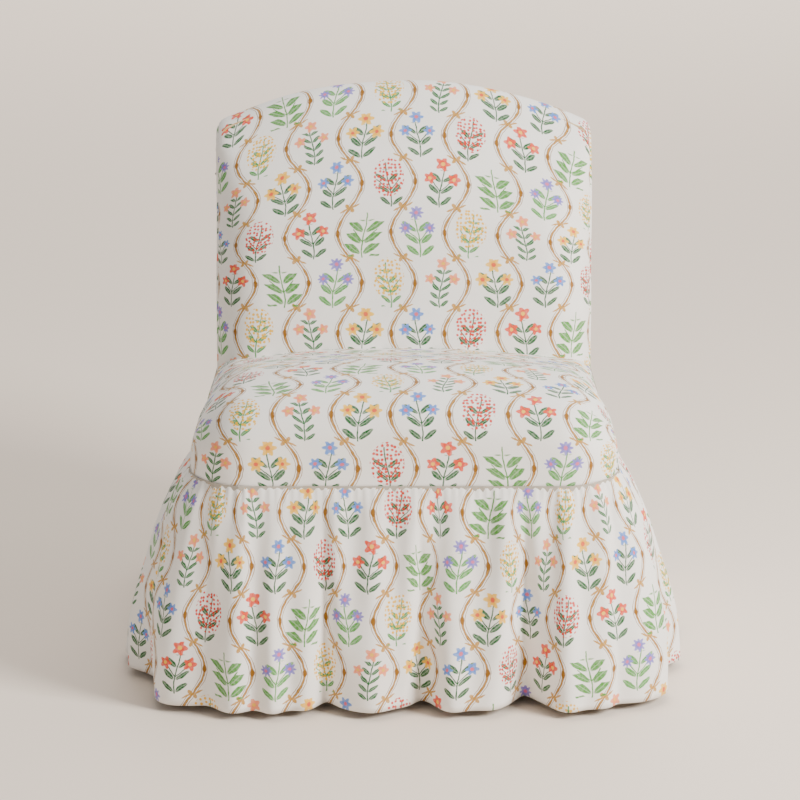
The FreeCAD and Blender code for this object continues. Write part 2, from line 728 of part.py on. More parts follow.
def make_dowels():
    """Dowels in the frame's main joints, each let into both pieces that it joins."""
    mid_x = rail_inner + rail_thick / 2.0
    half = dowel_length / 2.0
    dowels = []
    for height in (rail_bottom + 25.0, rail_top - 25.0):
        y = back_pivot_y + (height - seat_line_height) * math.tan(rake)
        dowels.append(rod(dowel_radius, point(mid_x, y - half, height), point(mid_x, y + half * 0.7, height)))
        rear = lean_point(post_inner, band_depth - rail_thick / 2.0, (height - seat_line_height) / math.cos(rake))
        dowels.append(rod(dowel_radius, rear - point(half, 0, 0), rear + point(half * 0.7, 0, 0)))
    crest_x = post_inner + post_width / 2.0
    dowels.append(rod(dowel_radius, lean_point(crest_x, band_depth / 2.0, post_length - half),
                      lean_point(crest_x, band_depth / 2.0, post_length + half)))
    group = Part.makeCompound(dowels + [mirrored(dowel) for dowel in dowels])
    for name in ("seat_rail_left", "seat_rail_right", "seat_rail_rear", "back_post_left", "back_post_right",
                 "crest_rail"):
        parts[name] = parts[name].cut(group)
    parts["frame_dowels"] = group


def make_dust_cover():
    sheet = frame_block(rail_bottom - burlap_thick, rail_bottom)
    sheet = sheet.common(box(-far, far, -far, rear_line_y - 14.0, 0, far))
    legs = [parts["front_leg_left"], parts["front_leg_right"], parts["back_post_left"], parts["back_post_right"]]
    parts["dust_cover"] = sheet.cut(legs)


def move_to_origin():
    """Puts the origin on the floor under the middle of the whole chair."""
    whole = FreeCAD.BoundBox()
    for shape in parts.values():
        whole.add(shape.optimalBoundingBox(True, False))
    for name in parts:
        parts[name].translate(point(-whole.Center.x, -whole.Center.y, 0))
    print("overall", round(whole.XLength, 1), round(whole.YLength, 1), round(whole.ZLength, 1),
          "shift", round(whole.Center.x, 2), round(whole.Center.y, 2))


make_seat_pads()
make_back_pads()
make_seat_rails()
make_legs()
make_back_frame()
make_springs()
make_back_webbing()
make_skirt()
make_glides()
make_dowels()
make_dust_cover()
move_to_origin()

os.makedirs("parts", exist_ok=True)
for name, shape in parts.items():
    shape.exportStep("parts/" + name + ".step")
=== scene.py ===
import bpy
import bmesh
import math
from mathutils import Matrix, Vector, noise


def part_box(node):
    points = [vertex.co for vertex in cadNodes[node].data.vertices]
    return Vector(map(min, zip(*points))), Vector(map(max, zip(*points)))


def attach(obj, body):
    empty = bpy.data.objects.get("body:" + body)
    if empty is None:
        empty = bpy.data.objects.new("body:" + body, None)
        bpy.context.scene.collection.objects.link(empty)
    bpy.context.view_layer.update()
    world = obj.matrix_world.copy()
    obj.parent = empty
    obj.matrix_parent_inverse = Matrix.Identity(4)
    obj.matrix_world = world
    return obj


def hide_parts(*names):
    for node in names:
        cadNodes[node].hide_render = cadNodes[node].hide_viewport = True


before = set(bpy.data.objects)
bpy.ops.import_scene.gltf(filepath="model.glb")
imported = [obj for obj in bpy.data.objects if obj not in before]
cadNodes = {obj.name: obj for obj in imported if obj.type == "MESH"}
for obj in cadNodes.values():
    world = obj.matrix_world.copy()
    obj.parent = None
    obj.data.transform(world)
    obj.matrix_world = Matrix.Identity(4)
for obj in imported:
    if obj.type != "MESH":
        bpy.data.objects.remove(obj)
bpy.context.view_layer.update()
print("frame loaded:", len(cadNodes), "nodes")


# small tools that every piece uses

def linearColour(hexCode):
    channels = [int(hexCode[start:start + 2], 16) / 255 for start in (0, 2, 4)]
    return (*[value / 12.92 if value <= 0.04045 else ((value + 0.055) / 1.055) ** 2.4 for value in channels], 1.0)


def addNode(tree, kind, settings=None, *inputs, **named):
    # inputs go to the sockets in turn, and named ones to the socket of that name
    node = tree.nodes.new("ShaderNode" + kind)
    for name, value in (settings or {}).items():
        setattr(node, name, value)
    sockets = list(enumerate(inputs)) + [(name.replace("_", " "), value) for name, value in named.items()]
    for socket, value in sockets:
        if isinstance(value, bpy.types.Node):
            value = value.outputs[0]
        if isinstance(value, bpy.types.NodeSocket):
            tree.links.new(value, node.inputs[socket])
        elif value is not None:
            node.inputs[socket].default_value = value
    return node


# what a Math or a Vector Math node does with its inputs
words = ("ADD", "SUBTRACT", "MULTIPLY", "DIVIDE", "MULTIPLY_ADD", "FLOORED_MODULO", "FLOOR", "SINE", "ABSOLUTE")
plus, minus, times, over, timesPlus, modulo, floor, sine, unsigned = [{"operation": word} for word in words]
inColour = {"data_type": "RGBA"}         # for a Mix node
waveBand = 0.314                         # how far apart a wave texture's bands lie at a scale of 1


def newMaterial(name):
    material = bpy.data.materials.new(name)
    material.use_nodes = True
    material.node_tree.nodes.clear()
    return material, material.node_tree


def smoothStep(low, high, value):
    share = min(max((value - low) / (high - low), 0.0), 1.0)
    return share * share * (3 - 2 * share)


def curveThrough(places, at):
    # a smooth curve through a few (place, value) pairs
    if at <= places[0][0]:
        return places[0][1]
    for index in range(len(places) - 1):
        (x0, y0), (x1, y1) = places[index], places[index + 1]
        if at <= x1:
            before = places[index - 1] if index else places[index]
            after = places[index + 2] if index + 2 < len(places) else places[index + 1]
            slope0 = (y1 - before[1]) / (x1 - before[0])
            slope1 = (after[1] - y0) / (after[0] - x0)
            step = x1 - x0
            t = (at - x0) / step
            return (y0 * (1 + 2 * t) * (1 - t) ** 2 + step * slope0 * t * (1 - t) ** 2
                    + y1 * t * t * (3 - 2 * t) + step * slope1 * t * t * (t - 1))
    return places[-1][1]


def makePiece(name, bm, thickness, material):
    # a piece from its mesh, its cloth or pad as thick as it is, inwards from the drawn face
    mesh = bpy.data.meshes.new(name)
    bm.to_mesh(mesh)
    bm.free()
    piece = bpy.data.objects.new(name, mesh)
    bpy.context.scene.collection.objects.link(piece)
    mesh.materials.append(material)
    mesh.shade_smooth()
    bpy.ops.object.select_all(action="DESELECT")
    piece.select_set(True)
    bpy.context.view_layer.objects.active = piece
    solidify = piece.modifiers.new("thickness", "SOLIDIFY")
    solidify.thickness = thickness
    solidify.offset = -1.0
    bpy.ops.object.modifier_apply(modifier=solidify.name)
    return piece


# where things are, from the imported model

seatLow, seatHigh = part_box("seat_cover")
middleX = (seatLow.x + seatHigh.x) / 2
frontY = seatLow.y                       # the seam between seat and skirt, in front

# camera: level with a standing viewer's eyes, about four and a half metres in front

view = {"distance": 4.467, "height": 1.753, "pitch": 16.06, "lens": 147.55, "aside": -0.006}
cameraData = bpy.data.cameras.new("camera")
cameraData.lens = view["lens"]
cameraData.sensor_width = 36
cameraData.clip_end = 50
camera = bpy.data.objects.new("camera", cameraData)
bpy.context.scene.collection.objects.link(camera)
camera.location = (view["aside"], frontY - view["distance"], view["height"])
camera.rotation_euler = (math.radians(90 - view["pitch"]), 0, 0)
bpy.context.scene.camera = camera
print("camera placed")


# printed cotton: a plain-woven furnishing cotton, matt, slightly warm white, with a small printed pattern
# of gold vines and garden sprigs. Everything in the print is sized in millimetres on the cloth itself.

printed = {
    "ground": "F6F3EE", "groundShade": "ECE7DF", "gold": "8A5A12", "goldLight": "BC8B3C", "veinShade": "C9DDB8",
    "vineGap": 84, "vineSwing": 19, "vinePeriod": 160, "rowGap": 80, "vineHalf": 2.0, "coreHalf": 0.75,
    "edgeOut": 4.6, "edgeHalf": 0.5, "knot": (3.6, 6.0), "vineLeaf": ((6.0, 3.0), (6.0, 2.0), 35),
    "sprigSize": 1.45, "stemHalf": 0.7, "stemBend": -3.2, "twigHalf": 0.8, "leaf": ((7.4, 5.4), (7.6, 2.5), 38),
    "dotRadius": 0.33, "crown": ((0, 5), (17, 22)), "heartShare": 0.26,
    "blooms": (((1.5, 21.0), 1.0), ((-13.0, 4.5), 0.82), ((13.5, 4.0), 0.9)),          # place and size
    "kinds": {                                                                         # of sprig, eight in all
        "petals": (5, 5, 6, 5, 5, 5, 8, 6),
        "radius": (8.6, 0.01, 8.0, 0.01, 7.6, 0.01, 8.0, 9.2),
        "dots": (0, 1, 0, 0, 0, 1, 0, 0),
        "leafGap": (13, 11, 13, 12, 9, 13, 13, 13),
        "leafSize": (1.0, 0.8, 1.0, 1.5, 0.75, 0.9, 1.1, 1.1),
        "petalInk": ("D22E1A", "F0B820", "3F6CC4", "559238", "EC7247", "CF2415", "6A5DB8", "EB9C08"),
        "edgeInk": ("E9573B", "F0B820", "6F98DC", "559238", "F5A07A", "CF2415", "8E84D0", "F4C84A"),
        "heartInk": ("F2C14E", "F0B820", "D9646A", "559238", "E8B64A", "CF2415", "D86A86", "D9553C"),
        "dotInk": ("D22E1A", "EDB51C", "3F6CC4", "559238", "EC7247", "D02818", "6A5DB8", "EB9C08"),
        "leafInk": ("0C5523", "3F8A3C", "0C5323", "4A8B33", "12602A", "0B4E1F", "4E953F", "0C5523"),
    },
    "weaveScale": 0.286,                 # threads 0.5 mm apart would not show, so they are drawn 1.1 mm apart
}


def leafShape(tree, x, y, place, radii, degrees=0):
    # a turned ellipse: how far inside it a point is, from 0 at the rim to 1 at the middle, and how far across it
    turn = math.radians(degrees)
    pair = addNode(tree, "CombineXYZ", None, addNode(tree, "Math", minus, x, place[0]),
                   addNode(tree, "Math", minus, y, place[1]))
    shares = []
    for direction, radius in (((math.cos(turn), math.sin(turn), 0), radii[0]),
                              ((-math.sin(turn), math.cos(turn), 0), radii[1])):
        run = addNode(tree, "VectorMath", {"operation": "DOT_PRODUCT"}, pair, direction)
        shares.append(addNode(tree, "Math", over, run.outputs["Value"], radius))
    reach = addNode(tree, "VectorMath", {"operation": "LENGTH"}, addNode(tree, "CombineXYZ", None, *shares))
    return addNode(tree, "Math", minus, 1.0, reach.outputs["Value"]), shares[1]


def bloomShape(tree, x, y, place, radius, petalCount):
    # petals round a heart: how far inside them a point is, how far out it is, and how far inside the heart
    dx, dy = addNode(tree, "Math", minus, x, place[0]), addNode(tree, "Math", minus, y, place[1])
    reach = addNode(tree, "VectorMath", {"operation": "LENGTH"}, addNode(tree, "CombineXYZ", None, dx, dy))
    angle = addNode(tree, "Math", {"operation": "ARCTAN2"}, dy, dx)
    wave = addNode(tree, "Math", {"operation": "COSINE"}, addNode(tree, "Math", times, angle, petalCount))
    lobe = addNode(tree, "Math", timesPlus, wave, 0.2, 0.8)
    share = addNode(tree, "Math", over, reach.outputs["Value"], radius)
    heart = addNode(tree, "Math", minus, printed["heartShare"], share)
    return addNode(tree, "Math", minus, lobe, share), share, heart


def printedCotton():
    material, tree = newMaterial("printedCotton")
    cloth = addNode(tree, "UVMap", {"uv_map": "cloth"})
    mm = addNode(tree, "VectorMath", {"operation": "SCALE"}, cloth, Scale=1000.0)
    unsteady = addNode(tree, "TexNoise", {"noise_dimensions": "2D"}, mm, Scale=0.09, Detail=2.0)
    shaky = addNode(tree, "VectorMath", timesPlus, unsteady.outputs["Color"], (2.6, 2.6, 0), mm)
    split = addNode(tree, "SeparateXYZ", None, shaky)
    x, y = split.outputs["X"], split.outputs["Y"]

    # vines: in step with each other, swinging left and right up the cloth and swelling a little
    vineGap, vineSwing, rowGap = printed["vineGap"], printed["vineSwing"], printed["rowGap"]
    phase = addNode(tree, "Math", times, y, 2 * math.pi / printed["vinePeriod"])
    swing = addNode(tree, "Math", times, addNode(tree, "Math", sine, phase), vineSwing)
    straight = addNode(tree, "Math", minus, x, swing)
    column = addNode(tree, "Math", floor, addNode(tree, "Math", over, straight, vineGap))
    toVine = addNode(tree, "Math", {"operation": "PINGPONG"}, straight, vineGap / 2)
    swell = addNode(tree, "Math", sine, addNode(tree, "Math", times, y, 0.24))
    vineHalf = addNode(tree, "Math", timesPlus, swell, 0.35, printed["vineHalf"])
    fromEdge = addNode(tree, "Math", unsigned, addNode(tree, "Math", minus, toVine, printed["edgeOut"]))
    # a bound knot at each turn of a vine, and a pair of small leaves half-way between the knots
    row = addNode(tree, "Math", floor, addNode(tree, "Math", over, y, rowGap))
    fromKnot = addNode(tree, "Math", minus, addNode(tree, "Math", modulo, y, rowGap), rowGap / 2)
    fromLeaf = addNode(tree, "Math", {"operation": "PINGPONG"}, y, rowGap / 2)

    # one sprig in each place between two vines, every other one mirrored
    lean = addNode(tree, "Math", timesPlus, addNode(tree, "Math", modulo, row, 2.0), -2 * vineSwing, vineSwing)
    centreX = addNode(tree, "Math", plus, addNode(tree, "Math", timesPlus, column, vineGap, vineGap / 2), lean)
    flipped = addNode(tree, "Math", modulo, addNode(tree, "Math", plus, column, row), 2.0)
    hand = addNode(tree, "Math", timesPlus, flipped, -2.0, 1.0)
    aside = addNode(tree, "Math", times, addNode(tree, "Math", minus, x, centreX), hand)
    localX = addNode(tree, "Math", over, aside, printed["sprigSize"])
    localY = addNode(tree, "Math", over, fromKnot, printed["sprigSize"])
    bend = addNode(tree, "Math", sine, addNode(tree, "Math", times, localY, 0.075))
    fromStem = addNode(tree, "Math", unsigned, addNode(tree, "Math", timesPlus, bend, printed["stemBend"], localX))

    # the kind of sprig steps from place to place, and each number and ink of its own with it
    kindCount = len(printed["kinds"]["petals"])
    mixed = addNode(tree, "Math", timesPlus, column, 3.0, addNode(tree, "Math", times, row, 2.0))
    which = addNode(tree, "Math", modulo, mixed, float(kindCount))
    which = addNode(tree, "Math", timesPlus, which, 1 / kindCount, 0.5 / kindCount)
    own = {}
    for name, values in printed["kinds"].items():
        ramp = addNode(tree, "ValToRGB", None, which)
        steps = ramp.color_ramp.elements
        ramp.color_ramp.interpolation = "CONSTANT"
        isInk = name.endswith("Ink")
        while len(steps) < kindCount:
            steps.new(0.5)
        for index, value in enumerate(values):
            steps[index].position = index / kindCount
            steps[index].color = linearColour(value) if isInk else (*[value / max(values)] * 3, 1)
        own[name] = ramp.outputs[0] if isInk else addNode(tree, "Math", times, ramp, max(values))

    # how far inside each printed shape a point is, and how soft the ink's edge is there, as it is on cloth
    stemRise = addNode(tree, "Math", unsigned, addNode(tree, "Math", plus, localY, 7.0))
    leafRise = addNode(tree, "Math", unsigned, addNode(tree, "Math", plus, localY, 6.0))
    twigRise = addNode(tree, "Math", timesPlus, fromStem, -1.05, addNode(tree, "Math", plus, localY, 10.0))
    leafX = addNode(tree, "Math", over, fromStem, own["leafSize"])
    leafY = addNode(tree, "Math", over, addNode(tree, "Math", modulo, localY, own["leafGap"]), own["leafSize"])
    leaf, leafAcross = leafShape(tree, leafX, leafY, *printed["leaf"])
    spots = addNode(tree, "TexVoronoi", {"voronoi_dimensions": "2D"}, shaky, Scale=0.155, Randomness=0.55)
    insides = {
        "vine": (addNode(tree, "Math", minus, vineHalf, toVine), 0.3),
        "vineCore": (addNode(tree, "Math", minus, printed["coreHalf"], toVine), 0.3),
        "vineEdge": (addNode(tree, "Math", minus, printed["edgeHalf"], fromEdge), 0.3),
        "vineLeaf": (leafShape(tree, toVine, fromLeaf, *printed["vineLeaf"])[0], 0.12),
        "knot": (leafShape(tree, toVine, fromKnot, (0, 0), printed["knot"])[0], 0.12),
        "stem": (addNode(tree, "Math", minus, printed["stemHalf"], fromStem), 0.25),
        "twig": (addNode(tree, "Math", minus, printed["twigHalf"], addNode(tree, "Math", unsigned, twigRise)), 0.3),
        "leaf": (leaf, 0.1),
        "vein": (addNode(tree, "Math", minus, 0.13, addNode(tree, "Math", unsigned, leafAcross)), 0.06),
        "dots": (addNode(tree, "Math", minus, printed["dotRadius"], spots.outputs["Distance"]), 0.05),
        # the part of the sprig that stem, side twigs, pairs of leaves and scattered blossoms keep to
        "stemPart": (addNode(tree, "Math", minus, 29.0, stemRise), 0.5),
        "twigPart": (addNode(tree, "Math", minus, 13.0, fromStem), 0.5),
        "leafPart": (addNode(tree, "Math", minus, 20.0, leafRise), 0.5),
        "dotsPart": (leafShape(tree, localX, localY, *printed["crown"])[0], 0.02),
    }
    # the inks, in the order of the printing screens
    gold, goldLight = linearColour(printed["gold"]), linearColour(printed["goldLight"])
    inks = {"vine": gold, "vineCore": goldLight, "vineEdge": gold, "vineLeaf": goldLight, "knot": gold,
            "stem": own["leafInk"], "twig": own["leafInk"], "leaf": own["leafInk"],
            "vein": linearColour(printed["veinShade"]), "dots": own["dotInk"]}
    for index, (place, share) in enumerate(printed["blooms"]):
        radius = addNode(tree, "Math", times, own["radius"], share)
        petals, out, heart = bloomShape(tree, localX, localY, place, radius, own["petals"])
        fade = addNode(tree, "Mix", inColour, Factor=out, A=own["petalInk"], B=own["edgeInk"])
        insides[f"petals{index}"], insides[f"heart{index}"] = (petals, 0.06), (heart, 0.06)
        inks[f"petals{index}"], inks[f"heart{index}"] = fade.outputs["Result"], own["heartInk"]
    masks = {}
    for name, (inside, soft) in insides.items():
        masks[name] = addNode(tree, "MapRange", {"interpolation_type": "SMOOTHSTEP"}, inside, -soft, soft, 0.0, 1.0)
    for name, limit in (("stem", masks["stemPart"]), ("twig", masks["twigPart"]), ("leaf", masks["leafPart"]),
                        ("dots", masks["dotsPart"]), ("dots", own["dots"]), ("vein", 0.4)):
        masks[name] = addNode(tree, "Math", times, masks[name], limit)
    masks["vein"] = addNode(tree, "Math", times, masks["vein"], masks["leaf"])

    # the ground, then each ink laid over it, a little thinner here and there
    tone = addNode(tree, "TexNoise", {"noise_dimensions": "2D"}, mm, Scale=0.012, Detail=3.0)
    colour = addNode(tree, "Mix", inColour, Factor=tone, A=linearColour(printed["ground"]),
                     B=linearColour(printed["groundShade"]))
    wash = addNode(tree, "TexNoise", {"noise_dimensions": "2D"}, mm, Scale=0.22, Detail=3.0)
    thin = addNode(tree, "MapRange", None, wash, 0.35, 0.7, 1.0, 0.84)
    for name, ink in inks.items():
        strength = addNode(tree, "Math", times, masks[name], thin)
        colour = addNode(tree, "Mix", inColour, Factor=strength, A=colour.outputs["Result"], B=ink)

    warp, weft = [addNode(tree, "TexWave", {"bands_direction": way}, mm, Scale=printed["weaveScale"],
                          Distortion=0.6, Detail=1.0) for way in ("X", "Y")]
    threads = addNode(tree, "Math", times, warp.outputs["Fac"], weft.outputs["Fac"])
    bump = addNode(tree, "Bump", None, Height=threads, Strength=0.10, Distance=0.0004)
    shader = addNode(tree, "BsdfPrincipled", None, colour.outputs["Result"], Roughness=0.88, Normal=bump,
                     Sheen_Weight=0.12, Sheen_Roughness=0.5, Specular_IOR_Level=0.3)
    addNode(tree, "OutputMaterial", None, shader)
    return material


cotton = printedCotton()
print("printed cotton made")


def fibreMaterial(name, light, dark, scale, roughness, depth, stretch=(1, 1, 1)):
    # loose or felted fibre: matt, cloudy in tone, with a soft uneven surface
    material, tree = newMaterial(name)
    place = addNode(tree, "TexCoord")
    drawn = addNode(tree, "Mapping", None, place.outputs["Object"], Scale=stretch)
    cloud = addNode(tree, "TexNoise", None, drawn, Scale=scale, Detail=5.0, Roughness=0.6)
    tone = addNode(tree, "Mix", inColour, Factor=cloud.outputs[0],
                   A=linearColour(light), B=linearColour(dark))
    bump = addNode(tree, "Bump", None, Height=cloud.outputs[0], Strength=0.4, Distance=depth)
    shader = addNode(tree, "BsdfPrincipled", None, tone.outputs["Result"], Roughness=roughness, Normal=bump)
    addNode(tree, "OutputMaterial", None, shader)
    return material


def wovenMaterial(name, light, dark, thread, roughness):
    # coarse plain weave: two sets of threads that cross, uneven in thickness, matt; the colour is lighter where the
    # threads cross on top and darker between them, which is painted shade in the hollows of the weave
    material, tree = newMaterial(name)
    place = addNode(tree, "TexCoord")
    across, along = [addNode(tree, "TexWave", {"bands_direction": way}, place.outputs["Object"],
                             Scale=waveBand / thread, Distortion=0.8, Detail=2.0) for way in ("X", "Y")]
    threads = addNode(tree, "Math", times, across.outputs["Fac"], along.outputs["Fac"])
    # painted shade: dark where the threads lie low, light where they cross on top
    tone = addNode(tree, "Mix", inColour, Factor=threads,
                   A=linearColour(dark), B=linearColour(light))
    bump = addNode(tree, "Bump", None, Height=threads, Strength=0.5, Distance=thread / 2)
    shader = addNode(tree, "BsdfPrincipled", None, tone.outputs["Result"], Roughness=roughness, Normal=bump)
    addNode(tree, "OutputMaterial", None, shader)
    return material


def sawnWood(name, light, dark, ringGap, along):
    # kiln-dried hardwood, sawn and left bare: straight grain along the piece, dull and slightly fuzzy
    material, tree = newMaterial(name)
    place = addNode(tree, "TexCoord")
    drawn = addNode(tree, "Mapping", None, place.outputs["Object"], Scale=along)
    rings = addNode(tree, "TexWave", {"bands_direction": "DIAGONAL"}, drawn, Scale=waveBand / ringGap,
                    Distortion=3.0, Detail=3.0)
    pores = addNode(tree, "TexNoise", None, drawn, Scale=900.0, Detail=2.0)
    mixed = addNode(tree, "Math", timesPlus, pores.outputs[0], 0.5, rings.outputs["Fac"])
    half = addNode(tree, "Math", times, mixed, 0.6)
    tone = addNode(tree, "Mix", inColour, Factor=half, A=linearColour(light), B=linearColour(dark))
    bump = addNode(tree, "Bump", None, Height=pores.outputs[0], Strength=0.3, Distance=0.0003)
    shader = addNode(tree, "BsdfPrincipled", None, tone.outputs["Result"], Roughness=0.62, Normal=bump)
    addNode(tree, "OutputMaterial", None, shader)
    return material


def hardMaterial(name, light, dark, scale, roughness, metallic):
    # drawn wire, plated strip or moulded nylon: one colour, with slight smudges that change its gloss
    material, tree = newMaterial(name)
    place = addNode(tree, "TexCoord")
    smudge = addNode(tree, "TexNoise", None, place.outputs["Object"], Scale=scale, Detail=4.0)
    tone = addNode(tree, "Mix", inColour, Factor=smudge.outputs[0],
                   A=linearColour(light), B=linearColour(dark))
    gloss = addNode(tree, "MapRange", None, smudge.outputs[0], 0.3, 0.7, roughness - 0.07, roughness + 0.07)
    shader = addNode(tree, "BsdfPrincipled", None, tone.outputs["Result"], Roughness=gloss, Metallic=metallic)
    addNode(tree, "OutputMaterial", None, shader)
    return material


wadding = fibreMaterial("polyesterWadding", "F7F6F2", "E4E1DA", 60, 0.95, 0.0015)
liningCotton = wovenMaterial("plainLiningCotton", "F1ECE2", "DDD6C8", 0.0011, 0.9)
grainAcross = sawnWood("sawnBirchAcross", "D9BE95", "B08B5C", 0.006, (0.06, 1, 1))
grainAlong = sawnWood("sawnBirchAlong", "D9BE95", "B08B5C", 0.006, (1, 0.06, 1))
grainUp = sawnWood("sawnBirchUpright", "D9BE95", "B08B5C", 0.006, (1, 1, 0.06))
hessian = wovenMaterial("juteHessian", "C4A477", "86683F", 0.0024, 0.95)
greyBoard = fibreMaterial("greyUpholsteryBoard", "B9B0A2", "9A9183", 90, 0.9, 0.0004)
cadMaterials = {
    "seat_burlap": hessian, "back_burlap": hessian,
    "back_webbing_across": wovenMaterial("juteWebbing", "CBB084", "8A6C43", 0.0018, 0.92),
    "seat_rail_front": grainAcross, "seat_rail_rear": grainAcross, "crest_rail": grainAcross,
    "back_tack_rail": grainAcross, "seat_rail_left": grainAlong, "seat_rail_right": grainAlong,
    "front_leg_left": grainUp, "front_leg_right": grainUp, "back_post_left": grainUp, "back_post_right": grainUp,
    "front_corner_blocks": grainUp, "rear_corner_blocks": grainUp,
    "frame_dowels": sawnWood("turnedBeechDowel", "E0C199", "C29A6B", 0.003, (1, 0.1, 1)),
    "seat_springs": hardMaterial("oilTemperedWire", "3B3733", "1F1D1B", 120, 0.38, 1.0),
    "spring_clips": hardMaterial("zincPlatedStrip", "C9CCD0", "A9ADB3", 150, 0.34, 1.0),
    "floor_glides": hardMaterial("mouldedNylonGlide", "26241F", "1B1A17", 200, 0.42, 0.0),
    "outside_back_board": greyBoard, "back_tack_strips": greyBoard, "skirt_tack_band": greyBoard,
    "dust_cover": fibreMaterial("spunBondedDustCloth", "2B2A29", "1B1A1A", 700, 0.9, 0.0002),
}
cadMaterials["back_webbing_upright"] = cadMaterials["back_webbing_across"]
for nodeName, material in cadMaterials.items():
    cadNodes[nodeName].data.materials.clear()
    cadNodes[nodeName].data.materials.append(material)
print("frame and spring materials made")


# upholstery: each pad is drawn as one body, and the cloth over it as panels that meet in seams

sewing = {
    "seamSteps": (0.0, 0.0012, 0.0026, 0.005, 0.009), "halvings": 19, "reach": 0.32, "sideFrom": 0.12,
    "sideReach": 0.36, "sideCloth": 0.31, "nearSeam": 0.05, "grooveHalf": 0.0022, "puckerFade": 0.011,
    "puckerStart": 0.003, "puckerGap": 0.019, "feel": 0.0008, "weld": 0.00002, "crownLimit": 1.2,
}


def roundedRim(edge, down, rim):
    # how far outside a pad a point is, from how far it lies inside its edge and under its top
    if edge < rim and down < rim:
        return math.hypot(rim - edge, rim - down) - rim
    return -min(edge, down)


def meetSurface(body, placeAt, near, far):
    # halves the way between a place inside the pad and one outside it until it meets the surface
    for step in range(sewing["halvings"]):
        middle = (near + far) / 2
        if body(*placeAt(middle)) < 0:
            near = middle
        else:
            far = middle
    return near


def onBody(body, x, start, degrees):
    # goes outwards from a point inside the pad, in the pad's side view
    turn = math.radians(degrees)

    def placeAt(reach):
        return x, start[0] - math.cos(turn) * reach, start[1] + math.sin(turn) * reach

    return Vector(placeAt(meetSurface(body, placeAt, 0.0, sewing["reach"])))


def outwards(body, place):
    slope = []
    for axis in range(3):
        ahead, behind = place.copy(), place.copy()
        ahead[axis] += sewing["feel"]
        behind[axis] -= sewing["feel"]
        slope.append(body(*ahead) - body(*behind))
    return Vector(slope).normalized()


def inSideView(place):
    return Vector((0, place.y, place.z))


def dressPad(body, rows, corner, lastDepth, lastHeight, settings):
    # a wide panel over the front and top, and a side panel on each side, sewn together
    count = settings["columns"]
    panel = []
    for start, degrees, seamX in rows:
        inner = seamX - sewing["seamSteps"][-1]
        half = [seamX - step for step in sewing["seamSteps"]]
        half += [inner * (1 - index / count) for index in range(1, count)]
        across = [-value for value in half] + [0.0] + half[::-1]
        panel.append([onBody(body, value, start(value), degrees) for value in across])
    seam = [row[-1] for row in panel]
    columns, steps = len(panel[0]), len(panel)

    # side panel: spread between the seam, the lower edge and the rear edge
    down, along = corner, steps - 1 - corner
    lowFront, cornerTop, topEnd = inSideView(seam[0]), inSideView(seam[corner]), inSideView(seam[-1])
    lowEnd = Vector((0, lastDepth, lastHeight))
    side = []
    for i in range(down + 1):
        u = i / down
        line = []
        for j in range(along + 1):
            w = j / along
            top, front = seam[corner + j], seam[corner - i]
            low, rear = lowFront.lerp(lowEnd, w), topEnd.lerp(lowEnd, u)
            blend = inSideView(top) * (1 - u) + low * u + inSideView(front) * (1 - w) + rear * w
            blend -= (cornerTop * (1 - u) * (1 - w) + topEnd * (1 - u) * w
                      + lowFront * u * (1 - w) + lowEnd * u * w)
            if i and j:
                blend.x = meetSurface(body, lambda x: (x, blend.y, blend.z), sewing["sideFrom"], sewing["sideReach"])
                line.append(blend)
            else:
                line.append(front.copy() if i else top.copy())
        side.append(line)

    bm = bmesh.new()
    uvLayer = bm.loops.layers.uv.new("cloth")
    middle = columns // 2
    lengths = [0.0]
    for before, after in zip(panel, panel[1:]):
        lengths.append(lengths[-1] + (after[middle] - before[middle]).length)
    acrossLengths = []
    for row in panel:
        run = [0.0]
        for before, after in zip(row, row[1:]):
            run.append(run[-1] + (after - before).length)
        acrossLengths.append([value - run[middle] for value in run])

    def addGrid(places, cloths, flip):
        vertices = [[bm.verts.new(place) for place in line] for line in places]
        for i in range(len(vertices) - 1):
            for j in range(len(vertices[0]) - 1):
                corners = [(i, j), (i, j + 1), (i + 1, j + 1), (i + 1, j)]
                if flip:
                    corners.reverse()
                face = bm.faces.new([vertices[a][b] for a, b in corners])
                for loop, (a, b) in zip(face.loops, corners):
                    loop[uvLayer].uv = cloths[a][b]

    lift = settings["clothUp"]
    addGrid(panel, [[(x, length + lift) for x in run] for run, length in zip(acrossLengths, lengths)], False)
    sideCloth = [[(place.y + sewing["sideCloth"], place.z + lift) for place in line] for line in side]
    addGrid(side, sideCloth, True)
    addGrid([[Vector((-place.x, place.y, place.z)) for place in line] for line in side],
            [[(-u, v) for u, v in line] for line in sideCloth], False)

    # soft life in the cloth: a shallow groove and small puckers along the seams, and a faint unevenness
    for vertex in bm.verts:
        place = vertex.co.copy()
        mirror = Vector((abs(place.x), place.y, place.z))
        gap = 1.0
        if mirror.x > seam[0].x - sewing["nearSeam"]:
            gap = min((mirror - other).length for other in seam)
        groove = -settings["groove"] * math.exp(-(gap / sewing["grooveHalf"]) ** 2)
        pucker = settings["pucker"] * math.exp(-gap / sewing["puckerFade"])
        pucker *= 1 - math.exp(-(gap / sewing["puckerStart"]) ** 2)
        run = (place.y + place.z) / sewing["puckerGap"]
        pucker *= math.sin(run * 2 * math.pi + 2 * noise.noise(place * 30))
        uneven = settings["uneven"] * noise.noise(place * 9 + Vector((4, 2, 1)))
        vertex.co = place + outwards(body, place) * (groove + pucker + uneven)
    bmesh.ops.remove_doubles(bm, verts=bm.verts, dist=sewing["weld"])
    return bm, uvLayer


